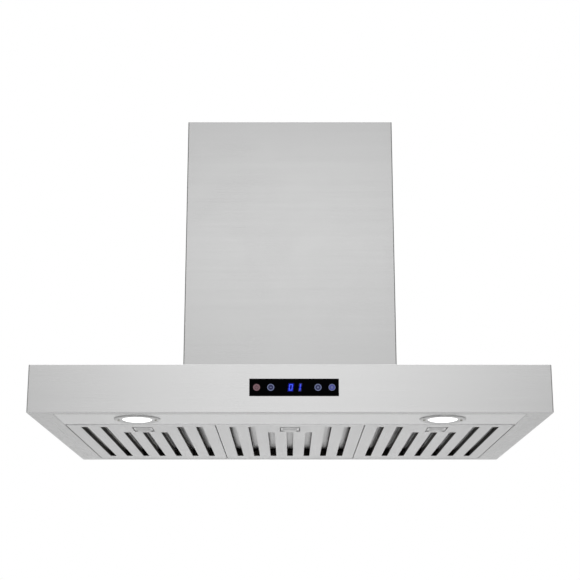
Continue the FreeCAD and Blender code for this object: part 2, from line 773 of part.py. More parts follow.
def half_cover(label, inset, bottom, top, side, vents):
    """Front (side -1) or rear (side 1) half of a chimney cover: a U of sheet with rounded corners."""
    x = f"cover_width / 2 - {inset}"
    y = f"cover_depth / 2 - {inset}"
    outer = round_edges(block((f"-({x})", x), (f"-({y})", y), (bottom, top)), "bend", is_vertical)
    inner = block(
        (f"-({x}) + cover_sheet", f"{x} - cover_sheet"),
        (f"-({y}) + cover_sheet", f"{y} - cover_sheet"),
        (f"{bottom} - 1", f"{top} + 1"),
    )
    inner = round_edges(inner, "bend - cover_sheet", is_vertical)
    away = ("-0.15", "cover_depth") if side < 0 else ("-cover_depth", "0.15")
    other = block(("-cover_width", "cover_width"), away, (f"{bottom} - 2", f"{top} + 2"))
    tools = [inner, other]
    if vents:
        centre = 72 * side
        across = (str(centre - 42), str(centre + 42))
        for n in range(8):
            low = f"{top} - {34 + 9 * n}"
            tools.append(block(("-cover_width", "cover_width"), across, (low, f"{low} + 4")))
    return sub_part(cut(outer, *tools), label)


def make_covers():
    """Lower covers stand on the canopy; upper covers slide inside them, with air vents near the ceiling."""
    inset = "(cover_sheet + cover_gap)"
    for name, side in (("front", -1), ("rear", 1)):
        half_cover(f"lower_cover_{name}", "0", "canopy_height", "cover_top", side, False)
        half_cover(f"upper_cover_{name}", inset, "canopy_height + 24", "cover_top", side, True)


POST_BOLT_X = "cover_width / 2 - cover_sheet * 2 - cover_gap - post_inset - post_sheet - 0.4 - post_leg / 2"


def post(offset, sign_x, sign_y, bottom, top, slot):
    """One angle-section post near a chimney corner."""
    inset = f"(cover_sheet * 2 + cover_gap + post_inset + {offset})"
    corner_x = f"cover_width / 2 - {inset}"
    corner_y = f"cover_depth / 2 - {inset}"

    def span(corner, reach, sign):
        """Low and high ends of a leg that starts at the corner and runs inwards."""
        far, near = f"({corner}) - ({reach})", f"{corner}"
        return (far, near) if sign > 0 else (f"-({near})", f"-({far})")

    leg_x = block(
        span(corner_x, "post_leg", sign_x), span(corner_y, "post_sheet", sign_y), (bottom, top)
    )
    leg_y = block(
        span(corner_x, "post_sheet", sign_x), span(corner_y, "post_leg", sign_y), (bottom, top)
    )
    middle = f"{sign_x} * ({POST_BOLT_X})"
    reach_y = ("80", "160") if sign_y > 0 else ("-160", "-80")
    opening = block((f"{middle} - 3.2", f"{middle} + 3.2"), reach_y, slot)
    return cut(fuse(leg_x, leg_y), opening)


def make_frame():
    """Telescopic frame: base ring, lower posts on it, upper posts under the ceiling plate, and clamp bolts."""
    corners = [(sx, sy) for sx in (-1, 1) for sy in (-1, 1)]
    bolt_z = 520
    lower = [
        post("0", sx, sy, "canopy_height + post_sheet", "560", (f"{bolt_z - 3.2}", f"{bolt_z + 3.2}"))
        for sx, sy in corners
    ]
    ring_x, ring_y = "cover_width / 2 - cover_sheet - 0.2", "cover_depth / 2 - cover_sheet - 0.2"
    ring = cut(
        round_edges(
            block((f"-({ring_x})", ring_x), (f"-({ring_y})", ring_y), ("canopy_height", "canopy_height + 20")),
            "bend - cover_sheet",
            is_vertical,
        ),
        block(
            (f"-({ring_x}) + post_sheet", f"{ring_x} - post_sheet"),
            (f"-({ring_y}) + post_sheet", f"{ring_y} - post_sheet"),
            ("canopy_height + post_sheet", "canopy_height + 21"),
        ),
        block(("-box_half_x - 2", "box_half_x + 2"), ("-box_half_y - 2", "box_half_y + 2"), ("80", "100")),
        rod("9.6", "20", "60", "-box_half_y - 11.5", "canopy_height - 3"),
    )
    sub_part(ring, "frame_base")
    sub_part(group(*lower), "lower_posts")
    slot = (f"{bolt_z - 258}", f"{bolt_z + 4}")
    upper = [
        post("post_sheet + 0.4", sx, sy, "150", "total_height - 2", slot) for sx, sy in corners
    ]
    reach_x, reach_y = "(cover_width / 2 - 8.5)", "(cover_depth / 2 - 8.5)"
    heights = ("total_height - 32", "total_height - 2")
    for low_x in (f"{reach_x} - post_sheet", f"-{reach_x}"):
        upper.append(block((low_x, f"{low_x} + post_sheet"), (f"-{reach_y}", reach_y), heights))
    for low_y in (f"{reach_y} - post_sheet", f"-{reach_y}"):
        upper.append(block((f"-{reach_x}", reach_x), (low_y, f"{low_y} + post_sheet"), heights))
    sub_part(fuse(*upper), "upper_frame")
    bolts = []
    for sx, sy in corners:
        inset = "(cover_sheet * 2 + cover_gap + post_inset)"
        x = f"{sx} * ({POST_BOLT_X})"
        outside = f"cover_depth / 2 - {inset}"
        if sy > 0:
            head = hexagon("9", "2", x, f"{outside} + 0.1", str(bolt_z), axis="y")
            shank = rod("2.8", "12", x, f"{outside} - 10", str(bolt_z), axis="y")
            nut = hexagon("9", "4", x, f"{outside} - 8", str(bolt_z), axis="y")
        else:
            head = hexagon("9", "2", x, f"-({outside}) - 2.1", str(bolt_z), axis="y")
            shank = rod("2.8", "12", x, f"-({outside}) - 2", str(bolt_z), axis="y")
            nut = hexagon("9", "4", x, f"-({outside}) + 4", str(bolt_z), axis="y")
        bolts.append(fuse(head, shank, nut))
    sub_part(group(*bolts), "frame_bolts")


def make_ceiling_plate():
    """Plate that bolts to the ceiling: duct hole in the middle and a fixing hole near each corner."""
    plate = padded("plate", rectangle("-190", "190", "-143", "143"), "2")
    pocketed(plate, rectangle("-170", "-120", "-25", "25"), "5", reverse=True)
    pocketed(plate, rectangle("120", "170", "-25", "25"), "5", reverse=True)
    hole = plate.newObject("Sketcher::SketchObject", "holes")
    for feature in plate.Origin.OriginFeatures:
        if feature.Role == "XY_Plane":
            hole.AttachmentSupport = [(feature, "")]
    hole.MapMode = "FlatFace"
    hole.addGeometry(Part.Circle(V(0, 0, 0), V(0, 0, 1), value_of("duct_radius + 15")), False)
    for sx in (-1, 1):
        for sy in (-1, 1):
            hole.addGeometry(Part.Circle(V(sx * 150, sy * 105, 0), V(0, 0, 1), 4.5), False)
    pocket = plate.newObject("PartDesign::Pocket", "fixing_holes")
    pocket.Profile = hole
    pocket.Reversed = True
    bind(pocket, Length="5")
    plate.Tip = pocket
    sub_part(place(plate, "0", "0", "total_height - 2"), "ceiling_plate")


def make_cover_screws():
    """Screws through the lower covers' sides into the base ring, and through the gasket into the canopy."""
    screws = []
    for side in (-1, 1):
        for y in (-110, -40, 40, 110):
            start = "cover_width / 2 - 3.4" if side > 0 else "-cover_width / 2 - 1.4"
            head = "cover_width / 2 + 0.02" if side > 0 else "-cover_width / 2 - 1.4"
            screws.append(
                fuse(
                    rod("1.6", "4.8", start, str(y), "canopy_height + 10", axis="x"),
                    rod("3.4", "1.38", head, str(y), "canopy_height + 10", axis="x"),
                )
            )
    return screws


def make_fixings():
    """Cover screws and the screws of the blower box's foot."""
    sub_part(group(*make_cover_screws()), "cover_screws")
    screws = []
    for x in (-140, -50, 50, 140):
        for side in (-1, 1):
            y = f"{side} * (box_half_y - 7)"
            screws.append(
                fuse(
                    rod("2", "8", str(x), y, "canopy_height - 2"),
                    hexagon("7", "2.5", str(x), y, "canopy_height + 4.3"),
                )
            )
    sub_part(group(*screws), "blower_box_screws")


# ---------------------------------------------------------------- wiring


def tube_along(points, radius):
    """Solid tube along straight runs joined by tangent arcs, each as large as its runs allow."""
    edges, at = [], points[0]
    for before, corner, after in zip(points, points[1:], points[2:]):
        into, out = (corner - before), (after - corner)
        turn = into.getAngle(out)
        if turn < 0.01:
            continue
        reach = 0.45 * min(into.Length, out.Length)
        start = corner - V(into).normalize() * reach
        end = corner + V(out).normalize() * reach
        bulge = reach / math.tan((math.pi - turn) / 2)
        bend_radius = reach / math.tan(turn / 2)
        inward = (V(out).normalize() - V(into).normalize()).normalize()
        centre = corner + inward * (bend_radius / math.cos(turn / 2))
        middle = centre - inward * bend_radius
        if (start - at).Length > 1e-6:
            edges.append(Part.LineSegment(at, start).toShape())
        edges.append(Part.Arc(start, middle, end).toShape())
        at = end
    edges.append(Part.LineSegment(at, points[-1]).toShape())
    path = Part.Wire(edges)
    section = Part.Wire(Part.makeCircle(radius, points[0], points[1] - points[0]))
    return path.makePipeShell([section], True, False)


def make_wiring():
    """Leads held inside the canopy: one from each lamp and one from the touch board, all to the power box."""
    left = [
        V(-268, -236, 48.2), V(-268, -236, 58), V(-262, -240, 68), V(-235, -250, 77), V(-180, -254, 79),
        V(-120, -250, 78), V(-60, -246, 77), V(0, -244, 76), V(58, -242, 74), V(109.8, -240, 72),
    ]
    right = [
        V(268, -236, 48.2), V(268, -236, 57), V(264, -238, 66), V(250, -241, 72), V(232, -242, 73),
        V(214.2, -242, 73),
    ]
    board = [
        V(50, -287.2, 46), V(50, -281, 46), V(54, -272, 49), V(66, -265, 55), V(84, -261, 59),
        V(109.8, -260, 60),
    ]
    leads = []
    for points in (left, right, board):
        lead = doc.addObject("Part::Feature", "lead")
        lead.Shape = tube_along(points, 2.0)
        leads.append(lead)
    sub_part(group(*leads), "internal_leads")


# ---------------------------------------------------------------- build, check and write


def build():
    """Makes every sub-part."""
    make_canopy()
    make_light_panel()
    make_bumpers()
    for name, side in (("left", -1), ("right", 1)):
        make_lamp(name, side)
    make_lamp_screws()
    make_control()
    make_power_unit()
    for name, centre in FILTERS:
        make_filter_pan(name, centre)
        make_filter_baffles(name, centre)
        make_filter_latch(name, centre)
    make_blower_casing()
    make_inlet_rings()
    make_impeller()
    make_motor()
    make_blower_box()
    make_outlet()
    make_covers()
    make_frame()
    make_ceiling_plate()
    make_fixings()
    make_wiring()
    doc.recompute()


def write():
    """Checks every object and sub-part, then writes one STEP file per sub-part."""
    for item in doc.Objects:
        if "Invalid" in item.State or "Error" in item.State:
            raise RuntimeError(f"{item.Name} ({item.Label}) failed: {item.State}")
    os.makedirs("parts", exist_ok=True)
    for item in SUB_PARTS:
        shape = item.Shape
        if shape.isNull() or not shape.isValid() or not shape.Solids:
            raise RuntimeError(f"{item.Label} has no valid solid")
        shape.exportStep(f"parts/{item.Label}.step")
        box = shape.BoundBox
        print(
            f"{item.Label:28s} solids {len(shape.Solids):3d} volume {shape.Volume:12.1f} "
            f"x {box.XMin:8.2f} {box.XMax:8.2f} y {box.YMin:8.2f} {box.YMax:8.2f} "
            f"z {box.ZMin:8.2f} {box.ZMax:8.2f}"
        )
    print(f"{len(SUB_PARTS)} sub-parts")


build()
write()
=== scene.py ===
import json
import math
import random

import bmesh
import bpy
from mathutils import Matrix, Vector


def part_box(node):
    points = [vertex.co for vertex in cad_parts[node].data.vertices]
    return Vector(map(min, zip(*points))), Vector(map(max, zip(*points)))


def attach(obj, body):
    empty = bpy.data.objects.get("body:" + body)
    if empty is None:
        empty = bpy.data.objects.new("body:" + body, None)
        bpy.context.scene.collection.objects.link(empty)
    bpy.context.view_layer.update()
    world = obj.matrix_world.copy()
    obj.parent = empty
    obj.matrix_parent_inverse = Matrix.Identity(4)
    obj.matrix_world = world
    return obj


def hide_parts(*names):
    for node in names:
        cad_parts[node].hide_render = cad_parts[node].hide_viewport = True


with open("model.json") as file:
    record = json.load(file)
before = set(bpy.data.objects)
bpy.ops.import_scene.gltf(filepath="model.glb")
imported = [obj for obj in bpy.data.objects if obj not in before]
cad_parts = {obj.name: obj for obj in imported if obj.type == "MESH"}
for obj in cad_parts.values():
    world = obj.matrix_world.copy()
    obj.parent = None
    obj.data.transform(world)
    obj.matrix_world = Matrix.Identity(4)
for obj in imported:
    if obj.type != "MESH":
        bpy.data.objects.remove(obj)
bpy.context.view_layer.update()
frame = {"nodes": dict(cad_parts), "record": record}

NODES = frame["nodes"]
MM = 0.001
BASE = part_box("canopy_shell")[0].z
random.seed(7)


# ---------------------------------------------------------------- shader helpers


class Shader:
    """A material's node tree with short ways to add and join nodes."""

    def __init__(self, name):
        self.material = bpy.data.materials.new(name)
        self.material.use_nodes = True
        self.tree = self.material.node_tree
        self.surface = self.tree.nodes["Principled BSDF"]

    def add(self, kind, **values):
        """A node with the given properties and unlinked input values."""
        node = self.tree.nodes.new(kind)
        for key, value in values.items():
            if key in node.inputs:
                node.inputs[key].default_value = value
            else:
                setattr(node, key, value)
        return node

    def join(self, output, socket):
        self.tree.links.new(output, socket)

    def set(self, **values):
        """Sets sockets of the surface shader, with _ for a space."""
        for key, value in values.items():
            socket = self.surface.inputs[key.replace("_", " ")]
            if hasattr(value, "is_linked"):
                self.join(value, socket)
            else:
                socket.default_value = value
        return self

    def coords(self, scale):
        """Object coordinates, stretched."""
        where = self.add("ShaderNodeTexCoord")
        mapping = self.add("ShaderNodeMapping")
        mapping.inputs["Scale"].default_value = scale
        self.join(where.outputs["Object"], mapping.inputs["Vector"])
        return mapping.outputs["Vector"]

    def noise(self, scale, detail=4.0, rough=0.6, distortion=0.0):
        node = self.add("ShaderNodeTexNoise")
        node.inputs["Scale"].default_value = 1.0
        node.inputs["Detail"].default_value = detail
        node.inputs["Roughness"].default_value = rough
        node.inputs["Distortion"].default_value = distortion
        self.join(self.coords(scale), node.inputs["Vector"])
        return node.outputs["Fac"]

    def ranged(self, value, low, high, from_low=0.3, from_high=0.7):
        node = self.add("ShaderNodeMapRange")
        self.join(value, node.inputs["Value"])
        limits = (("From Min", from_low), ("From Max", from_high), ("To Min", low), ("To Max", high))
        for key, number in limits:
            node.inputs[key].default_value = number
        return node.outputs["Result"]

    def math(self, operation, a, b):
        node = self.add("ShaderNodeMath", operation=operation)
        for socket, value in zip(node.inputs, (a, b)):
            if hasattr(value, "is_linked"):
                self.join(value, socket)
            else:
                socket.default_value = value
        return node.outputs["Value"]

    def blend(self, factor, a, b):
        """A mix of two colours, or of two colour outputs."""
        node = self.add("ShaderNodeMix", data_type="RGBA")
        sockets = [s for s in node.inputs if s.type == "RGBA"]
        if hasattr(factor, "is_linked"):
            self.join(factor, node.inputs["Factor"])
        else:
            node.inputs["Factor"].default_value = factor
        for socket, value in zip(sockets, (a, b)):
            if hasattr(value, "is_linked"):
                self.join(value, socket)
            else:
                socket.default_value = (*value, 1.0)
        return [s for s in node.outputs if s.type == "RGBA"][0]

    def pick(self, factor, a, b):
        """A mix of two numbers."""
        node = self.add("ShaderNodeMix", data_type="FLOAT")
        self.join(factor, node.inputs["Factor"])
        sockets = [s for s in node.inputs if s.name in ("A", "B") and s.type == "VALUE"]
        for socket, value in zip(sockets, (a, b)):
            if hasattr(value, "is_linked"):
                self.join(value, socket)
            else:
                socket.default_value = value
        return node.outputs["Result"]

    def bump(self, height, strength, distance):
        node = self.add("ShaderNodeBump")
        node.inputs["Strength"].default_value = strength
        node.inputs["Distance"].default_value = distance
        self.join(height, node.inputs["Height"])
        self.join(node.outputs["Normal"], self.surface.inputs["Normal"])
        return self


def grey(value, tint=0.0):
    """A grey a little warm for a positive tint."""
    return (value * (1 + tint), value, value * (1 - tint))


def brushed(name, low, high, rough, grain="x", bump=0.10, smudge=0.5, uneven=1.0):
    """Brushed stainless steel: long fine streaks, broad tone changes and faint handling marks."""
    s = Shader(name)
    fine, along = 2600.0, 3.5
    stretch = {"x": (along, fine, fine), "y": (fine, along, fine), "z": (fine, fine, along)}
    streaks = s.noise(stretch[grain], detail=3.0, rough=0.65)
    if grain == "x":
        sideways = s.noise(stretch["y"], detail=3.0, rough=0.65)
        normal = s.add("ShaderNodeNewGeometry")
        split = s.add("ShaderNodeSeparateXYZ")
        s.join(normal.outputs["True Normal"], split.inputs["Vector"])
        is_side = s.math("GREATER_THAN", s.math("ABSOLUTE", split.outputs["X"], 0.0), 0.7)
        streaks = s.pick(is_side, streaks, sideways)
    broad_scale = {"x": (0.9, 60.0, 60.0), "y": (60.0, 0.9, 60.0), "z": (60.0, 60.0, 0.9)}[grain]
    bands = s.noise(broad_scale, detail=4.0, rough=0.6)
    marks = s.noise((7.0, 7.0, 7.0), detail=5.0, rough=0.6, distortion=0.6)
    tone = s.math("ADD", s.math("MULTIPLY", streaks, 0.45), s.math("MULTIPLY", bands, 0.35))
    tone = s.math("ADD", tone, s.math("MULTIPLY", marks, 0.20))
    s.set(
        Base_Color=s.blend(s.ranged(tone, 0.0, 1.0, 0.36, 0.64), low, high),
        Metallic=1.0,
        Roughness=s.math(
            "ADD",
            s.ranged(streaks, rough - 0.05 * uneven, rough + 0.07 * uneven),
            s.ranged(marks, -0.03 * smudge, 0.06 * smudge, 0.4, 0.75),
        ),
    )
    s.bump(streaks, bump, 0.00008)
    return s.material


def spangled(name, low, high, rough, size=70.0):
    """Galvanised sheet: crystal spangle and dull blotches."""
    s = Shader(name)
    cells = s.add("ShaderNodeTexVoronoi")
    cells.inputs["Scale"].default_value = 1.0
    s.join(s.coords((size, size * 0.8, size)), cells.inputs["Vector"])
    split = s.add("ShaderNodeSeparateColor")
    s.join(cells.outputs["Color"], split.inputs["Color"])
    blotch = s.noise((18.0, 18.0, 18.0), detail=5.0)
    tone = s.math("ADD", s.math("MULTIPLY", split.outputs["Red"], 0.5), s.math("MULTIPLY", blotch, 0.5))
    s.set(
        Base_Color=s.blend(s.ranged(tone, 0.0, 1.0, 0.2, 0.8), low, high),
        Metallic=0.9,
        Roughness=s.ranged(tone, rough - 0.08, rough + 0.14, 0.2, 0.8),
    )
    s.bump(s.noise((400.0, 400.0, 400.0), detail=3.0), 0.15, 0.0002)
    return s.material


def plastic(name, low, high, rough, grain=900.0, bump=0.2, **more):
    """Moulded plastic, rubber or paint: a fine texture and slightly uneven gloss."""
    s = Shader(name)
    fine = s.noise((grain, grain, grain), detail=3.0)
    broad = s.noise((22.0, 22.0, 22.0), detail=5.0, rough=0.65)
    s.set(
        Base_Color=s.blend(s.ranged(broad, 0.0, 1.0), low, high),
        Roughness=s.ranged(broad, rough - 0.05, rough + 0.08),
        **more,
    )
    s.bump(fine, bump, 0.0001)
    return s.material


def cast(name, low, high, rough, grain=260.0):
    """Cast or machined light metal with a sandy skin."""
    s = Shader(name)
    skin = s.noise((grain, grain, grain), detail=6.0, rough=0.7)
    stain = s.noise((30.0, 30.0, 12.0), detail=4.0)
    s.set(
        Base_Color=s.blend(s.ranged(stain, 0.0, 1.0), low, high),
        Metallic=0.95,
        Roughness=s.ranged(skin, rough - 0.06, rough + 0.12),
    )
    s.bump(skin, 0.35, 0.0003)
    return s.material


def solder_mask(name):
    """Green circuit board with darker tracks under its lacquer and a few pads."""
    s = Shader(name)
    tracks = s.add("ShaderNodeTexBrick")
    tracks.inputs["Scale"].default_value = 1.0
    tracks.inputs["Mortar Size"].default_value = 0.10
    tracks.inputs["Brick Width"].default_value = 2.3
    tracks.inputs["Row Height"].default_value = 0.55
    s.join(s.coords((150.0, 150.0, 150.0)), tracks.inputs["Vector"])
    cloud = s.noise((60.0, 60.0, 60.0), detail=4.0)
    base = s.blend(s.ranged(cloud, 0.0, 1.0), (0.012, 0.085, 0.035), (0.02, 0.12, 0.05))
    s.set(
        Base_Color=s.blend(tracks.outputs["Fac"], base, (0.03, 0.20, 0.08)),
        Roughness=s.ranged(cloud, 0.28, 0.42),
        Coat_Weight=0.4,
    )
    s.bump(tracks.outputs["Fac"], 0.25, 0.0002)
    return s.material


def glowing(name, colour, strength, body=(0.02, 0.02, 0.03), speck=0.15):
    """A lit mark: emission a little uneven over its face."""
    s = Shader(name)
    uneven = s.noise((900.0, 900.0, 900.0), detail=2.0)
    dim = tuple(c * (1 - speck) for c in colour)
    s.set(
        Base_Color=(*body, 1.0),
        Roughness=0.35,
        Emission_Color=s.blend(s.ranged(uneven, 0.0, 1.0), dim, colour),
        Emission_Strength=strength,
    )
    return s.material


def lamp_glass(name):
    """Frosted lens, lit from behind: brighter in the middle of its prisms."""
    s = Shader(name)
    cells = s.add("ShaderNodeTexVoronoi", feature="SMOOTH_F1")
    cells.inputs["Scale"].default_value = 1.0
    s.join(s.coords((420.0, 420.0, 0.0)), cells.inputs["Vector"])
    prism = s.ranged(cells.outputs["Distance"], 0.0, 1.0, 0.0, 0.6)
    s.set(
        Base_Color=(0.9, 0.9, 0.88, 1.0),
        Roughness=0.28,
        Coat_Weight=0.6,
        Emission_Color=s.blend(prism, (1.0, 1.0, 0.99), (0.93, 0.94, 0.95)),
        Emission_Strength=1.7,
    )
    s.bump(cells.outputs["Distance"], 0.4, 0.0006)
    return s.material


STEEL = brushed("hood_steel", grey(0.715), grey(0.755), 0.25, bump=0.05, smudge=0.3, uneven=0.4)
# Painted shade: the chimney's steel is a darker copy of the hood's steel.
PAINTED_SHADE_COVER_STEEL = brushed("painted_shade_chimney_steel", grey(0.573), grey(0.607), 0.25, bump=0.05, smudge=0.3, uneven=0.4)
# Painted shade: a darker copy of the hood's steel, grained front to back, for the canopy's downward faces at
# its base.
PAINTED_SHADE_FLANGE_STEEL = brushed(
    "painted_shade_flange_steel", grey(0.56), grey(0.61), 0.27, grain="y", bump=0.05, smudge=0.5, uneven=0.5
)
# Painted highlight: a much lighter copy of the hood's steel for the panel's rolled edge and the latch lips'
# front faces.
PAINTED_HIGHLIGHT_STEEL = brushed("painted_highlight_steel", grey(0.86), grey(0.92), 0.30, bump=0.03, uneven=0.4)
# Painted shade: a near-black copy of the steel for the filter pans' inner faces, standing in for the shade
# inside the slots.
PAINTED_SHADE_INNER_STEEL = brushed(
    "painted_shade_inner_steel", (0.060, 0.055, 0.048), (0.12, 0.11, 0.10), 0.46, grain="y", smudge=1.5
)
FILTER_STEEL = brushed("filter_steel", grey(0.66, 0.0), grey(0.74, 0.0), 0.32, grain="y", smudge=0.8)
BAFFLE_STEEL = brushed("baffle_steel", grey(0.70, 0.0), grey(0.80, 0.0), 0.40, grain="y", smudge=1.0)
GALVANISED = spangled("galvanised_sheet", grey(0.34), grey(0.52), 0.46)
BLACK_PLASTIC = plastic("black_plastic", grey(0.012), grey(0.028), 0.42, Specular_IOR_Level=0.4)
BLACK_GLASS = plastic(
    "black_glass", (0.0006, 0.0006, 0.0008), (0.0012, 0.0012, 0.0016), 0.10, grain=60.0, bump=0.01,
    Specular_IOR_Level=0.012,
)
LAMP_RIM = brushed("lamp_rim_metal", grey(0.50), grey(0.62), 0.24, grain="y", bump=0.05)
LENS = lamp_glass("lamp_lens_glass")
HEATSINK = cast("heatsink_metal", grey(0.28), grey(0.38), 0.42)
MOTOR = cast("motor_metal", grey(0.36), grey(0.50), 0.38)
BOARD = solder_mask("circuit_board")
RUBBER = plastic("black_rubber", grey(0.012), grey(0.022), 0.68, grain=1400.0, bump=0.3)
ZINC = cast("zinc_plate", (0.50, 0.50, 0.46), (0.62, 0.61, 0.56), 0.30, grain=900.0)
SPRING = cast("spring_wire", grey(0.42), grey(0.56), 0.24, grain=1200.0)
IMPELLER = plastic("impeller_plastic", grey(0.022), grey(0.045), 0.50, grain=1200.0)
SHAFT = brushed("ground_shaft", grey(0.48), grey(0.60), 0.22, grain="x")
CAPACITOR = plastic("capacitor_case", (0.52, 0.52, 0.49), (0.62, 0.62, 0.59), 0.38)
LEAD = plastic("lead_sleeve", grey(0.010), grey(0.024), 0.48, grain=700.0)

BY_SLOT = {
    "steel": STEEL, "steel_cover": PAINTED_SHADE_COVER_STEEL, "filter_steel": FILTER_STEEL, "galvanised": GALVANISED,
    "black_glass": BLACK_GLASS, "black_plastic": BLACK_PLASTIC, "lamp_rim": LAMP_RIM, "lens": LENS,
    "heatsink": HEATSINK, "board": BOARD, "rubber": RUBBER, "zinc_fixings": ZINC, "spring_steel": SPRING,
    "impeller_plastic": IMPELLER, "motor_metal": MOTOR, "shaft_steel": SHAFT, "capacitor_case": CAPACITOR,
    "lead": LEAD,
}
SLOT_OF = {s["node"]: s["material_slot"] for s in frame["record"]["subparts"]}
for node, thing in NODES.items():
    material = BAFFLE_STEEL if node.endswith("_baffles") else BY_SLOT[SLOT_OF[node]]
    thing.data.materials.clear()
    thing.data.materials.append(material)
    for face in thing.data.polygons:
        face.material_index = 0


def second_material(node, material, wanted):
    """Gives a CAD node another material on the faces whose centre and normal pass a test."""
    thing = NODES[node]
    thing.data.materials.append(material)
    turn = thing.matrix_world.to_3x3()
    for face in thing.data.polygons:
        if wanted(thing.matrix_world @ face.center, turn @ face.normal):
            face.material_index = 1


def inside_of(node):
    """A test for faces of a filter pan that lie above its sheet and within its walls."""
    low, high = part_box(node)
    edge = 0.6 * MM

    def wanted(centre, normal):
        within_x = low.x + edge < centre.x < high.x - edge
        within_y = low.y + edge < centre.y < high.y - edge
        return centre.z > low.z + 1.0 * MM and within_x and within_y

    return wanted


def front_of_lip(node):
    """A test for the front faces of a latch's finger lip, near the latch's rear end."""
    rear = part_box(node)[1].y

    def wanted(centre, normal):
        return normal.y < -0.9 and rear - 3.0 * MM < centre.y < rear - 1.0 * MM

    return wanted


for side in ("left", "centre", "right"):
    # The pans' inner faces get painted shade.
    second_material(f"filter_{side}_pan", PAINTED_SHADE_INNER_STEEL, inside_of(f"filter_{side}_pan"))
    # The front faces of each latch's finger lip get a painted highlight.
    second_material(f"filter_{side}_latch_bolt", PAINTED_HIGHLIGHT_STEEL, front_of_lip(f"filter_{side}_latch_bolt"))
# The canopy's downward faces at its base get painted shade.
second_material(
    "canopy_shell", PAINTED_SHADE_FLANGE_STEEL, lambda centre, normal: normal.z < -0.9 and centre.z < BASE + 0.5 * MM
)


# ---------------------------------------------------------------- mesh helpers


def piece(name, mesh, body, material, bevel=0.0, smooth=True):
    """Adds a mesh as a piece that rides on a body."""
    thing = bpy.data.objects.new(name, mesh)
    bpy.context.scene.collection.objects.link(thing)
    mesh.materials.append(material)
    if smooth:
        for face in mesh.polygons:
            face.use_smooth = True
    if bevel:
        edge = thing.modifiers.new("edge", "BEVEL")
        edge.width = bevel
        edge.segments = 2
        edge.limit_method = "ANGLE"
    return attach(thing, body)


def to_mesh(name, bm):
    mesh = bpy.data.meshes.new(name)
    bm.to_mesh(mesh)
    bm.free()
    return mesh


def add_box(bm, low, high):
    """Adds a box between two corners."""
    made = bmesh.ops.create_cube(bm, size=1.0)["verts"]
    size = [b - a for a, b in zip(low, high)]
    centre = [(a + b) / 2 for a, b in zip(low, high)]
    bmesh.ops.scale(bm, vec=size, verts=made)
    bmesh.ops.translate(bm, vec=centre, verts=made)
    return made


def add_rod(bm, centre, radius, length, axis="z", segments=32, radius_2=None):
    """Adds a cylinder or cone centred on a point."""
    top = radius if radius_2 is None else radius_2
    made = bmesh.ops.create_cone(
        bm, cap_ends=True, segments=segments, radius1=radius, radius2=top, depth=length
    )["verts"]
    turns = {
        "x": Matrix.Rotation(math.pi / 2, 4, "Y"),
        "y": Matrix.Rotation(-math.pi / 2, 4, "X"),
        "z": Matrix(),
    }
    bmesh.ops.transform(bm, matrix=Matrix.Translation(centre) @ turns[axis], verts=made)
    return made


def add_prism(bm, outline, y_front, y_back):
    """Adds a plate in the XZ plane from an outline of (x, z) points."""
    front = [bm.verts.new((x, y_front, z)) for x, z in outline]
    back = [bm.verts.new((x, y_back, z)) for x, z in outline]
    bm.faces.new(front)
    bm.faces.new(back[::-1])
    for n in range(len(outline)):
        m = (n + 1) % len(outline)
        bm.faces.new((front[m], front[n], back[n], back[m]))


def ring_outline(radius, count=40, start=0.0):
    angles = [start + 2 * math.pi * n / count for n in range(count)]
    return [(radius * math.cos(a), radius * math.sin(a)) for a in angles]


def add_ring(bm, centre, outer, inner, y_front, y_back, start=0.0, sweep=2 * math.pi, count=40):
    """Adds a flat ring, or part of one, in the XZ plane."""
    for n in range(count):
        a, b = start + sweep * n / count, start + sweep * (n + 1) / count
        corners = [(inner, a), (outer, a), (outer, b), (inner, b)]
        outline = [(centre[0] + r * math.cos(t), centre[1] + r * math.sin(t)) for r, t in corners]
        add_prism(bm, outline, y_front, y_back)


# ---------------------------------------------------------------- touch control

glass_low, glass_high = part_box("control_glass")
mid_x, mid_z = (glass_low.x + glass_high.x) / 2, (glass_low.z + glass_high.z) / 2
glass_lead = 0.10 * MM
face_y = glass_low.y + glass_lead

bm = bmesh.new()
add_box(bm, (glass_low.x, face_y, glass_low.z), tuple(glass_high))
glass_mesh = to_mesh("touch_glass", bm)
glass = piece("touch_glass", glass_mesh, "hood", BLACK_GLASS, bevel=0.35 * MM, smooth=False)
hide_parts("control_glass")

BLUE = glowing("blue_glow", (0.035, 0.10, 1.0), 1.15)
HALO = glowing("blue_halo", (0.0, 0.0, 0.42), 1.0, body=(0.0, 0.0, 0.01))
FAINT_HALO = glowing("faint_blue_halo", (0.0, 0.0, 0.10), 1.0, body=(0.0, 0.0, 0.01))
PALE = glowing("pale_blue_glow", (0.26, 0.31, 0.56), 0.55, body=(0.0, 0.0, 0.0))
PALE_FACE = glowing("pale_blue_face", (0.008, 0.010, 0.10), 0.6, body=(0.0, 0.0, 0.0))
LAMP_FACE = glowing("lamp_sign_face", (0.060, 0.070, 0.34), 0.8, body=(0.0, 0.0, 0.0))
DIM = glowing("dim_rose_mark", (0.16, 0.075, 0.085), 1.0)
DIM_LINE = glowing("dim_rose_line", (0.045, 0.016, 0.022), 1.0)


def mark(name, material, draw):
    """A lit sign on the glass, drawn round (x, z) offsets from the glass's middle, in millimetres."""
    bm = bmesh.new()
    draw(bm)
    return piece(name, to_mesh(name, bm), "hood", material, smooth=False)


def at(x, z):
    return (mid_x + x * MM, mid_z + z * MM)


def layer_y(depth):
    """Front of a mark in the given layer: each layer lies a little in front of the one behind it."""
    step = 0.018 * MM
    return face_y - (depth + 1) * step


def bar(bm, x0, x1, z0, z1, depth=3):
    add_prism(bm, [at(x0, z0), at(x1, z0), at(x1, z1), at(x0, z1)], layer_y(depth), face_y)


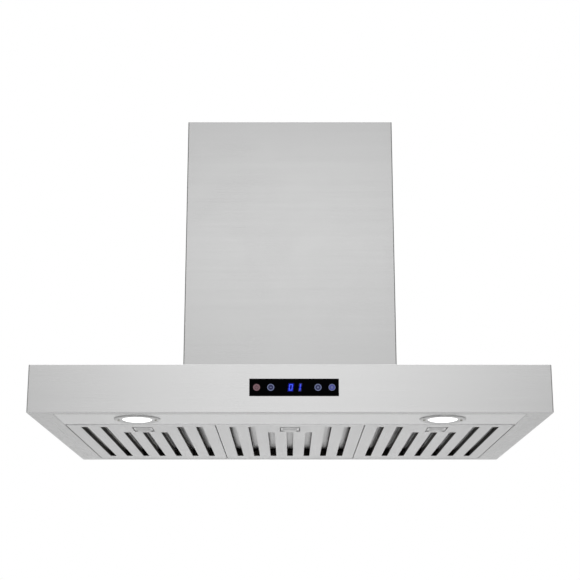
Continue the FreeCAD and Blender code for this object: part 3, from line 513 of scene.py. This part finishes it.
def disc(bm, x, z, radius, depth=1):
    cx, cz = at(x, z)
    outline = [(cx + a, cz + b) for a, b in ring_outline(radius * MM)]
    add_prism(bm, outline, layer_y(depth), face_y)


def hoop(bm, x, z, outer, inner, start=0.0, sweep=2 * math.pi, depth=2):
    add_ring(bm, at(x, z), outer * MM, inner * MM, layer_y(depth), face_y, start, sweep)


def draw_power_face(bm):
    disc(bm, -64.3, 0, 6.0)


def draw_power(bm):
    hoop(bm, -64.3, -0.3, 3.3, 2.2, start=math.radians(125), sweep=math.radians(290))
    bar(bm, -64.85, -63.75, 0.6, 3.6)


def draw_key_faces(bm):
    for x in (-40.0, 41.0):
        disc(bm, x, 0, 4.8)


def draw_minus(bm):
    hoop(bm, -40.0, 0, 6.0, 4.5)
    bar(bm, -41.7, -38.3, -0.7, 0.7)


def draw_plus(bm):
    hoop(bm, 41.0, 0, 6.0, 4.6)
    bar(bm, 39.0, 43.0, -0.65, 0.65)
    bar(bm, 40.35, 41.65, 0.65, 2.1)
    bar(bm, 40.35, 41.65, -2.1, -0.65)


def draw_lamp_face(bm):
    disc(bm, 65.0, 0, 5.0)


def draw_lamp(bm):
    hoop(bm, 65.0, 0, 5.9, 5.0)
    disc(bm, 65.0, 0.3, 1.6, depth=3)
    bar(bm, 63.9, 66.1, -2.7, -1.9)


def draw_digits(bm, grow=0.0, depth=3):
    """Seven-segment 01, its segments slanted a little and grown on every side."""
    segments = {"0": "abcdef", "1": "bc"}
    wide, tall, thick, gap, lean = 6.0, 10.8, 1.15, 0.25, 0.12
    strokes = {
        "a": (gap, wide - gap, tall / 2 - thick, tall / 2),
        "d": (gap, wide - gap, -tall / 2, -tall / 2 + thick),
        "b": (wide - thick, wide, gap, tall / 2 - gap),
        "c": (wide - thick, wide, -tall / 2 + gap, -gap),
        "f": (0, thick, gap, tall / 2 - gap),
        "e": (0, thick, -tall / 2 + gap, -gap),
    }
    for digit, left in (("0", -8.6), ("1", 5.0)):
        for name in segments[digit]:
            x0, x1, z0, z1 = strokes[name]
            x0, x1, z0, z1 = x0 - grow, x1 + grow, z0 - grow, z1 + grow
            corners = [(x0, z0), (x1, z0), (x1, z1), (x0, z1)]
            add_prism(bm, [at(left + x + z * lean, z) for x, z in corners], layer_y(depth), face_y)


mark("power_face", DIM, draw_power_face)
mark("power_sign", DIM_LINE, draw_power)
mark("key_faces", PALE_FACE, draw_key_faces)
mark("minus_sign", PALE, draw_minus)
mark("plus_sign", PALE, draw_plus)
mark("lamp_face", LAMP_FACE, draw_lamp_face)
mark("lamp_sign", PALE, draw_lamp)
mark("speed_digits", BLUE, draw_digits)
mark("digit_halo", HALO, lambda bm: draw_digits(bm, 0.9, 1))
mark("digit_faint_halo", FAINT_HALO, lambda bm: draw_digits(bm, 2.0, 0))


# ---------------------------------------------------------------- light panel's rolled edge


def rolled_edge():
    """Half-round edge, rolled along the light panel's rear, where the filters begin."""
    radius = 0.9 * MM
    bm = bmesh.new()
    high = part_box("light_panel")[1]
    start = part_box("filter_left_pan")[0].x
    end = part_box("filter_right_pan")[1].x
    add_rod(bm, ((start + end) / 2, high.y - radius, BASE), radius, end - start, axis="x", segments=16)
    # The rolled edge's lighter steel is a painted highlight.
    piece("panel_rolled_edge", to_mesh("panel_rolled_edge", bm), "hood", PAINTED_HIGHLIGHT_STEEL)


rolled_edge()


# ---------------------------------------------------------------- lamp screws


def screw_heads():
    """Countersunk cross-head screws in the lamp bezels."""
    bm = bmesh.new()
    screw_offset = 32.5 * MM
    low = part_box("lamp_screws")[0]
    for side in ("left", "right"):
        a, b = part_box(f"lamp_{side}_bezel")
        cx, cy = (a.x + b.x) / 2, (a.y + b.y) / 2
        for hole in (-1, 1):
            x = cx + hole * screw_offset
            turn = Matrix.Translation((x, cy, 0)) @ Matrix.Rotation(random.uniform(0, math.pi / 2), 4, "Z")
            head = add_rod(bm, (0, 0, low.z + 0.75 * MM), 1.9 * MM, 0.9 * MM, segments=24, radius_2=2.6 * MM)
            wings = []
            for wing in range(4):
                quarter = add_box(bm, (0.35 * MM, 0.35 * MM, low.z), (1.25 * MM, 1.25 * MM, low.z + 0.4 * MM))
                quarter_turn = Matrix.Rotation(wing * math.pi / 2, 3, "Z")
                bmesh.ops.rotate(bm, cent=(0, 0, 0), matrix=quarter_turn, verts=quarter)
                wings += quarter
            shank = add_rod(bm, (0, 0, low.z + 5 * MM), 1.2 * MM, 8 * MM, segments=16)
            bmesh.ops.transform(bm, matrix=turn, verts=head + wings + shank)
    mesh = to_mesh("lamp_screw_heads", bm)
    heads = piece("lamp_screw_heads", mesh, "hood", ZINC, smooth=False)
    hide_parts("lamp_screws")


screw_heads()


# ---------------------------------------------------------------- room, light and camera


def studio():
    """Pale floor well below the hood, a white surround, and soft light from the front and above."""
    floor_radius, floor_drop = 9.0, 1.6
    bm = bmesh.new()
    bmesh.ops.create_circle(bm, cap_ends=True, radius=floor_radius, segments=96)
    floor_mesh = to_mesh("floor", bm)
    floor = bpy.data.objects.new("floor", floor_mesh)
    bpy.context.scene.collection.objects.link(floor)
    floor.location = (0, 0, BASE - floor_drop)
    s = Shader("pale_floor")
    cloud = s.noise((1.2, 1.2, 1.2), detail=4.0)
    s.set(Base_Color=s.blend(s.ranged(cloud, 0.0, 1.0), grey(0.86), grey(0.89)), Roughness=0.6)
    floor_mesh.materials.append(s.material)

    world = bpy.data.worlds.new("surround")
    bpy.context.scene.world = world
    world.use_nodes = True
    tree = world.node_tree
    tree.nodes.clear()
    add, join = tree.nodes.new, tree.links.new
    where = add("ShaderNodeTexCoord")
    split = add("ShaderNodeSeparateXYZ")
    join(where.outputs["Generated"], split.inputs["Vector"])

    def number(operation, a, b):
        node = add("ShaderNodeMath")
        node.operation = operation
        for socket, value in zip(node.inputs, (a, b)):
            if hasattr(value, "is_linked"):
                join(value, socket)
            else:
                socket.default_value = value
        return node.outputs[0]

    def lobe(value, middle, width):
        """A soft bump, 1 at the middle."""
        off = number("DIVIDE", number("SUBTRACT", value, middle), width)
        return number("EXPONENT", number("MULTIPLY", number("MULTIPLY", off, off), -1.0), 0.0)

    # Light by direction: a bright field in front and behind, a lighter band at the chimney's height in it,
    # a lamp overhead, a pale ground, and a dimmer level all round.
    all_round = 0.31
    across = lobe(split.outputs["X"], 0.0, 0.27)
    low = number("MULTIPLY", lobe(split.outputs["Z"], 0.10, 0.50), 0.90)
    band = number("MULTIPLY", lobe(split.outputs["Z"], 0.32, 0.07), 1.0)
    overhead = number("MULTIPLY", lobe(split.outputs["Z"], 1.0, 0.20), 1.75)
    below = number("MULTIPLY", lobe(split.outputs["Z"], -0.40, 0.28), 0.45)
    level = number("MULTIPLY", across, number("ADD", low, band))
    level = number("ADD", number("ADD", level, number("ADD", overhead, below)), all_round)
    studio_light = add("ShaderNodeBackground")
    join(level, studio_light.inputs["Strength"])
    seen = add("ShaderNodeBackground")
    seen.inputs["Strength"].default_value = 1.0
    seen.inputs["Color"].default_value = (1, 1, 1, 1)
    mix = add("ShaderNodeMixShader")
    path = add("ShaderNodeLightPath")
    join(path.outputs["Is Camera Ray"], mix.inputs["Fac"])
    join(studio_light.outputs["Background"], mix.inputs[1])
    join(seen.outputs["Background"], mix.inputs[2])
    out = add("ShaderNodeOutputWorld")
    join(mix.outputs["Shader"], out.inputs["Surface"])


def camera():
    """Looks up at the hood from in front and below."""
    distance, drop, pitch = 2.3885, 0.357, 14.04
    data = bpy.data.cameras.new("camera")
    data.lens = 76.93
    data.sensor_width = 36.0
    data.shift_y = 0.05
    view = bpy.data.objects.new("camera", data)
    bpy.context.scene.collection.objects.link(view)
    view.location = (0.0, -distance, BASE - drop)
    view.rotation_euler = (math.radians(90 + pitch), 0, 0)
    bpy.context.scene.camera = view
    bpy.context.scene.view_settings.view_transform = "Standard"


studio()
camera()
